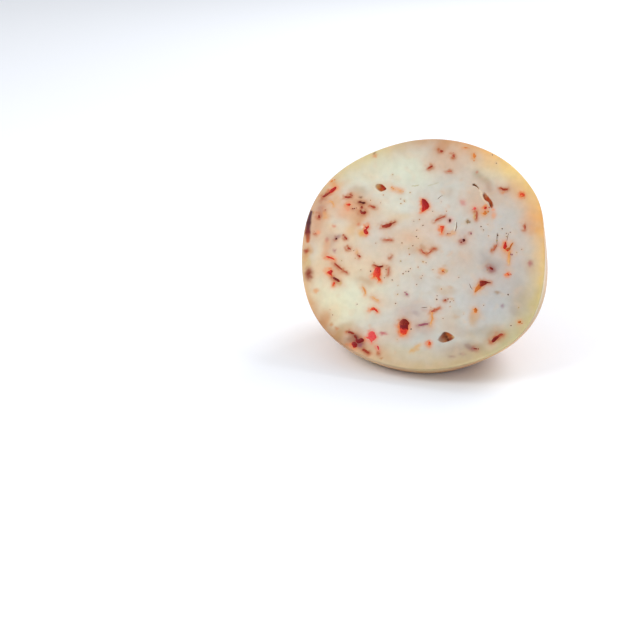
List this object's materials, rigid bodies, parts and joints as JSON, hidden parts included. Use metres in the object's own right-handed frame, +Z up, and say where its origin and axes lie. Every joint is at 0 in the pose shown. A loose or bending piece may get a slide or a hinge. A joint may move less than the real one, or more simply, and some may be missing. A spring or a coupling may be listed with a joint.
{
  "type": "half of a caciocavallo cheese",
  "caption": "Half of a round caciocavallo cheese with chilli flakes in its paste, cut across once and lying back on its rind.",
  "frame": {"origin": "on the floor, under the middle of the piece's box", "axes": "+Z up; +X to the right across the cut face as seen from in front of it; the cut face looks towards -Y and 35 degrees up"},
  "size_m": [0.1478, 0.1184, 0.1256],
  "materials": {
    "cheese": "ivory stretched-curd cheese paste with a satin, slightly moist knife-cut face and a thin waxy yellow rind",
    "chilli": "crushed dried chilli, dark red to orange, satin and a little oily"
  },
  "bodies": {
    "root": {"cheese_half": "cheese"}
  },
  "joints": []
}
